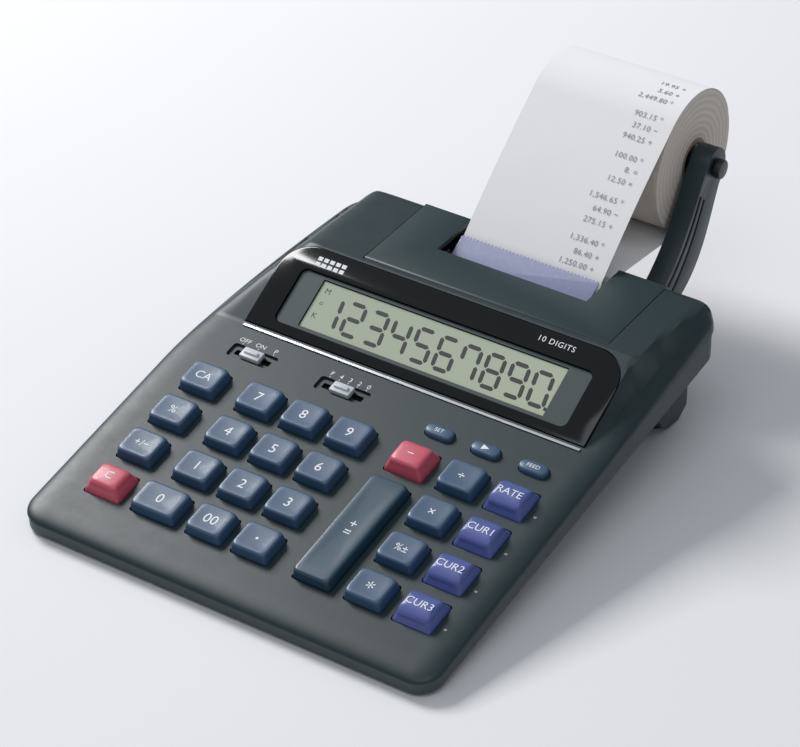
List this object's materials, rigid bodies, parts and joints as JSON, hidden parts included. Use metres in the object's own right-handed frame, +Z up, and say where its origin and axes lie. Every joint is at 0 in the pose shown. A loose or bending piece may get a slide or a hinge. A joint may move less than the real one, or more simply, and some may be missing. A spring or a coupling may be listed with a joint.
{
  "type": "desk printing calculator",
  "caption": "Wedge-shaped desk calculator with a keypad, a digit display, slide switches and a small printer fed from a paper roll on a tilting rear holder.",
  "frame": {"origin": "centre of the footprint on the desk", "axes": "+X to the user's right, +Y to the rear, +Z up"},
  "size_m": [0.165, 0.2612, 0.0948],
  "materials": {
    "case_teal": "satin",
    "case_grey": "satin",
    "cover_teal": "satin",
    "key_slate": "satin",
    "key_red": "satin",
    "key_violet": "satin",
    "key_teal": "satin",
    "switch_grey": "satin",
    "window_black": "gloss",
    "bezel_green": "matte",
    "lcd": "gloss",
    "silver": "brushed",
    "board_green": "satin",
    "grey_rubber": "matte",
    "black_rubber": "matte",
    "dark_plastic": "satin",
    "steel": "brushed",
    "gear_nylon": "satin",
    "brass": "satin",
    "type_metal": "satin",
    "ink_felt": "matte",
    "tear_clear": "clear",
    "paper": "matte",
    "roll_side": "matte",
    "card": "matte",
    "battery": "gloss"
  },
  "bodies": {
    "case": {"upper_case": "case_teal", "lower_case": "case_grey", "display_window": "window_black", "display_bezel": "bezel_green", "lcd_panel": "lcd", "trim_strip": "silver", "main_board": "board_green", "key_mat": "grey_rubber", "printer_frame": "dark_plastic", "printer_motor": "steel", "tear_bar": "tear_clear", "paper_web": "paper", "holder_pin": "steel", "batteries": "battery", "dc_jack": "dark_plastic", "rubber_feet": "black_rubber", "case_screws": "steel"},
    "key_clear_all_body": {"key_clear_all": "key_slate"},
    "key_percent_body": {"key_percent": "key_slate"},
    "key_sign_body": {"key_sign": "key_slate"},
    "key_clear_body": {"key_clear": "key_red"},
    "key_7_body": {"key_7": "key_slate"},
    "key_8_body": {"key_8": "key_slate"},
    "key_9_body": {"key_9": "key_slate"},
    "key_4_body": {"key_4": "key_slate"},
    "key_5_body": {"key_5": "key_slate"},
    "key_6_body": {"key_6": "key_slate"},
    "key_1_body": {"key_1": "key_slate"},
    "key_2_body": {"key_2": "key_slate"},
    "key_3_body": {"key_3": "key_slate"},
    "key_0_body": {"key_0": "key_slate"},
    "key_00_body": {"key_00": "key_slate"},
    "key_point_body": {"key_point": "key_slate"},
    "key_minus_body": {"key_minus": "key_red"},
    "key_plus_equals_body": {"key_plus_equals": "key_teal"},
    "key_divide_body": {"key_divide": "key_slate"},
    "key_multiply_body": {"key_multiply": "key_slate"},
    "key_markup_body": {"key_markup": "key_slate"},
    "key_total_body": {"key_total": "key_slate"},
    "key_rate_set_body": {"key_rate_set": "key_violet"},
    "key_rate_1_body": {"key_rate_1": "key_violet"},
    "key_rate_2_body": {"key_rate_2": "key_violet"},
    "key_rate_3_body": {"key_rate_3": "key_violet"},
    "key_set_body": {"key_set": "key_slate"},
    "key_shift_body": {"key_shift": "key_slate"},
    "key_feed_body": {"key_feed": "key_slate"},
    "power_switch_body": {"power_switch": "switch_grey"},
    "decimal_switch_body": {"decimal_switch": "switch_grey"},
    "roll_holder_body": {"roll_holder": "case_teal"},
    "roll_body": {"paper_roll": "roll_side", "roll_core": "card", "roll_spindle": "dark_plastic"},
    "drum_body": {"type_drum": "type_metal", "drum_gear": "gear_nylon"},
    "platen_body": {"platen_roller": "black_rubber", "platen_gear": "gear_nylon"},
    "pinion_body": {"motor_pinion": "brass"},
    "ink_body": {"ink_roller": "ink_felt"},
    "printer_cover_body": {"printer_cover": "cover_teal"},
    "battery_cover_body": {"battery_cover": "case_grey"}
  },
  "joints": [
    {"name": "key_clear_all_press", "type": "slide", "parent": "case", "child": "key_clear_all_body", "axis": [0, 0.2045, -0.9789], "range_m": [0, 0.0016], "stiffness_N_per_m": 150, "springref_m": -0.001},
    {"name": "key_percent_press", "type": "slide", "parent": "case", "child": "key_percent_body", "axis": [0, 0.2045, -0.9789], "range_m": [0, 0.0016], "stiffness_N_per_m": 150, "springref_m": -0.001},
    {"name": "key_sign_press", "type": "slide", "parent": "case", "child": "key_sign_body", "axis": [0, 0.2045, -0.9789], "range_m": [0, 0.0016], "stiffness_N_per_m": 150, "springref_m": -0.001},
    {"name": "key_clear_press", "type": "slide", "parent": "case", "child": "key_clear_body", "axis": [0, 0.2045, -0.9789], "range_m": [0, 0.0016], "stiffness_N_per_m": 150, "springref_m": -0.001},
    {"name": "key_7_press", "type": "slide", "parent": "case", "child": "key_7_body", "axis": [0, 0.2045, -0.9789], "range_m": [0, 0.0016], "stiffness_N_per_m": 150, "springref_m": -0.001},
    {"name": "key_8_press", "type": "slide", "parent": "case", "child": "key_8_body", "axis": [0, 0.2045, -0.9789], "range_m": [0, 0.0016], "stiffness_N_per_m": 150, "springref_m": -0.001},
    {"name": "key_9_press", "type": "slide", "parent": "case", "child": "key_9_body", "axis": [0, 0.2045, -0.9789], "range_m": [0, 0.0016], "stiffness_N_per_m": 150, "springref_m": -0.001},
    {"name": "key_4_press", "type": "slide", "parent": "case", "child": "key_4_body", "axis": [0, 0.2045, -0.9789], "range_m": [0, 0.0016], "stiffness_N_per_m": 150, "springref_m": -0.001},
    {"name": "key_5_press", "type": "slide", "parent": "case", "child": "key_5_body", "axis": [0, 0.2045, -0.9789], "range_m": [0, 0.0016], "stiffness_N_per_m": 150, "springref_m": -0.001},
    {"name": "key_6_press", "type": "slide", "parent": "case", "child": "key_6_body", "axis": [0, 0.2045, -0.9789], "range_m": [0, 0.0016], "stiffness_N_per_m": 150, "springref_m": -0.001},
    {"name": "key_1_press", "type": "slide", "parent": "case", "child": "key_1_body", "axis": [0, 0.2045, -0.9789], "range_m": [0, 0.0016], "stiffness_N_per_m": 150, "springref_m": -0.001},
    {"name": "key_2_press", "type": "slide", "parent": "case", "child": "key_2_body", "axis": [0, 0.2045, -0.9789], "range_m": [0, 0.0016], "stiffness_N_per_m": 150, "springref_m": -0.001},
    {"name": "key_3_press", "type": "slide", "parent": "case", "child": "key_3_body", "axis": [0, 0.2045, -0.9789], "range_m": [0, 0.0016], "stiffness_N_per_m": 150, "springref_m": -0.001},
    {"name": "key_0_press", "type": "slide", "parent": "case", "child": "key_0_body", "axis": [0, 0.2045, -0.9789], "range_m": [0, 0.0016], "stiffness_N_per_m": 150, "springref_m": -0.001},
    {"name": "key_00_press", "type": "slide", "parent": "case", "child": "key_00_body", "axis": [0, 0.2045, -0.9789], "range_m": [0, 0.0016], "stiffness_N_per_m": 150, "springref_m": -0.001},
    {"name": "key_point_press", "type": "slide", "parent": "case", "child": "key_point_body", "axis": [0, 0.2045, -0.9789], "range_m": [0, 0.0016], "stiffness_N_per_m": 150, "springref_m": -0.001},
    {"name": "key_minus_press", "type": "slide", "parent": "case", "child": "key_minus_body", "axis": [0, 0.2045, -0.9789], "range_m": [0, 0.0016], "stiffness_N_per_m": 150, "springref_m": -0.001},
    {"name": "key_plus_equals_press", "type": "slide", "parent": "case", "child": "key_plus_equals_body", "axis": [0, 0.2045, -0.9789], "range_m": [0, 0.0016], "stiffness_N_per_m": 150, "springref_m": -0.001},
    {"name": "key_divide_press", "type": "slide", "parent": "case", "child": "key_divide_body", "axis": [0, 0.2045, -0.9789], "range_m": [0, 0.0016], "stiffness_N_per_m": 150, "springref_m": -0.001},
    {"name": "key_multiply_press", "type": "slide", "parent": "case", "child": "key_multiply_body", "axis": [0, 0.2045, -0.9789], "range_m": [0, 0.0016], "stiffness_N_per_m": 150, "springref_m": -0.001},
    {"name": "key_markup_press", "type": "slide", "parent": "case", "child": "key_markup_body", "axis": [0, 0.2045, -0.9789], "range_m": [0, 0.0016], "stiffness_N_per_m": 150, "springref_m": -0.001},
    {"name": "key_total_press", "type": "slide", "parent": "case", "child": "key_total_body", "axis": [0, 0.2045, -0.9789], "range_m": [0, 0.0016], "stiffness_N_per_m": 150, "springref_m": -0.001},
    {"name": "key_rate_set_press", "type": "slide", "parent": "case", "child": "key_rate_set_body", "axis": [0, 0.2045, -0.9789], "range_m": [0, 0.0016], "stiffness_N_per_m": 150, "springref_m": -0.001},
    {"name": "key_rate_1_press", "type": "slide", "parent": "case", "child": "key_rate_1_body", "axis": [0, 0.2045, -0.9789], "range_m": [0, 0.0016], "stiffness_N_per_m": 150, "springref_m": -0.001},
    {"name": "key_rate_2_press", "type": "slide", "parent": "case", "child": "key_rate_2_body", "axis": [0, 0.2045, -0.9789], "range_m": [0, 0.0016], "stiffness_N_per_m": 150, "springref_m": -0.001},
    {"name": "key_rate_3_press", "type": "slide", "parent": "case", "child": "key_rate_3_body", "axis": [0, 0.2045, -0.9789], "range_m": [0, 0.0016], "stiffness_N_per_m": 150, "springref_m": -0.001},
    {"name": "key_set_press", "type": "slide", "parent": "case", "child": "key_set_body", "axis": [0, 0.2045, -0.9789], "range_m": [0, 0.0016], "stiffness_N_per_m": 150, "springref_m": -0.001},
    {"name": "key_shift_press", "type": "slide", "parent": "case", "child": "key_shift_body", "axis": [0, 0.2045, -0.9789], "range_m": [0, 0.0016], "stiffness_N_per_m": 150, "springref_m": -0.001},
    {"name": "key_feed_press", "type": "slide", "parent": "case", "child": "key_feed_body", "axis": [0, 0.2045, -0.9789], "range_m": [0, 0.0016], "stiffness_N_per_m": 150, "springref_m": -0.001},
    {"name": "power_switch_slide", "type": "slide", "parent": "case", "child": "power_switch_body", "axis": [1, 0, 0], "range_m": [-0.0048, 0.0048]},
    {"name": "decimal_switch_slide", "type": "slide", "parent": "case", "child": "decimal_switch_body", "axis": [1, 0, 0], "range_m": [-0.0054, 0.0054]},
    {"name": "roll_holder_tilt", "type": "hinge", "parent": "case", "child": "roll_holder_body", "pos_m": [0.0115, 0.0634, 0.024], "axis": [1, 0, 0], "range_deg": [0, 38], "deforming": ["paper_web"]},
    {"name": "paper_roll_spin", "type": "hinge", "parent": "roll_holder_body", "child": "roll_body", "pos_m": [0.0115, 0.1044, 0.068], "axis": [1, 0, 0], "continuous": true},
    {"name": "drum_spin", "type": "hinge", "parent": "case", "child": "drum_body", "pos_m": [0.0115, 0.0291, 0.034], "axis": [1, 0, 0], "continuous": true},
    {"name": "platen_spin", "type": "hinge", "parent": "case", "child": "platen_body", "pos_m": [0.0115, 0.0419, 0.034], "axis": [1, 0, 0], "continuous": true},
    {"name": "pinion_spin", "type": "hinge", "parent": "case", "child": "pinion_body", "pos_m": [-0.02, 0.01828, 0.0311], "axis": [1, 0, 0], "continuous": true},
    {"name": "ink_roller_spin", "type": "hinge", "parent": "case", "child": "ink_body", "pos_m": [0.0115, 0.0221, 0.04209], "axis": [1, 0, 0], "continuous": true},
    {"name": "printer_cover_hinge", "type": "hinge", "parent": "case", "child": "printer_cover_body", "pos_m": [0.0115, 0.01192, 0.04771], "axis": [1, 0, 0], "range_deg": [0, 65]},
    {"name": "battery_cover_slide", "type": "slide", "parent": "case", "child": "battery_cover_body", "axis": [0, 1, 0], "range_m": [0, 0.03]}
  ],
  "couplings": [
    {"joint": "platen_spin", "follows": "drum_spin", "ratio": -1.2857},
    {"joint": "pinion_spin", "follows": "drum_spin", "ratio": -1.8},
    {"joint": "ink_roller_spin", "follows": "drum_spin", "ratio": -1.6}
  ]
}
